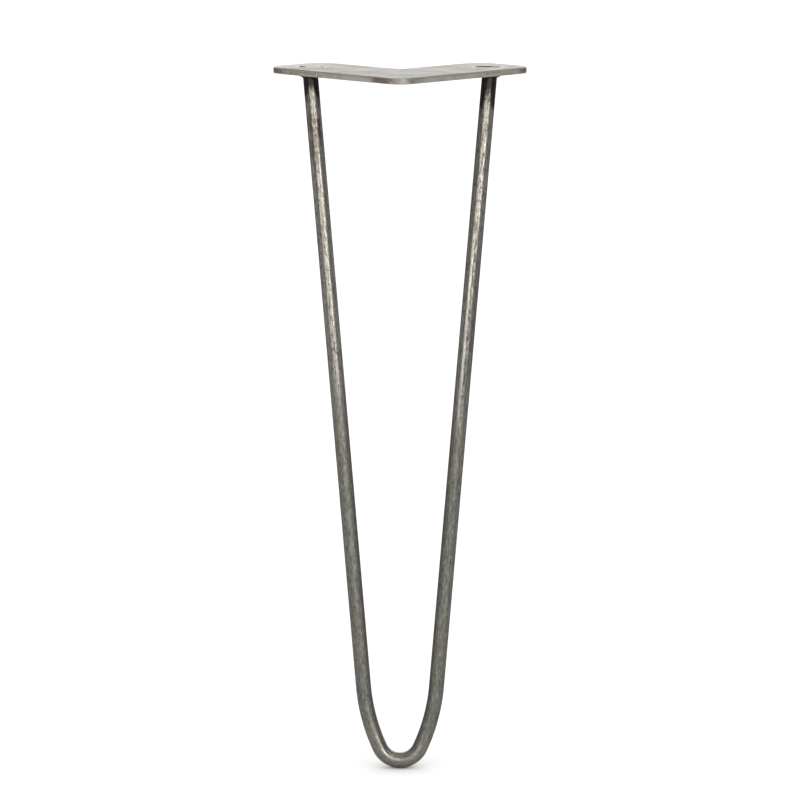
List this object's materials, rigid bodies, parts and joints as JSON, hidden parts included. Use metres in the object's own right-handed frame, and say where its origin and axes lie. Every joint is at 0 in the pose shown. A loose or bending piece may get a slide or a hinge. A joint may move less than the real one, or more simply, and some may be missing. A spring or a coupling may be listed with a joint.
{
  "type": "hairpin table leg",
  "caption": "Hairpin table leg: round steel bar bent into a tapering loop and welded under a flat right-angled plate with a screw slot in each arm.",
  "frame": {"origin": "on the mounting face, where the centrelines of the plate's two arms cross", "axes": "+Z out of the mounting face, towards the table top; -Y towards the plate's outer corner and the foot; X across the two prongs"},
  "size_m": [0.1668, 0.1347, 0.45],
  "materials": {
    "bare_bar": "hot rolled bar, oiled, with dark mill scale",
    "bare_plate": "bare cut plate, dull, with brown oxide on its edges",
    "weld_metal": "as welded, olive heat tint"
  },
  "bodies": {
    "root": {"hairpin_rod": "bare_bar", "mounting_plate": "bare_plate", "weld_left": "weld_metal", "weld_right": "weld_metal"}
  },
  "joints": []
}
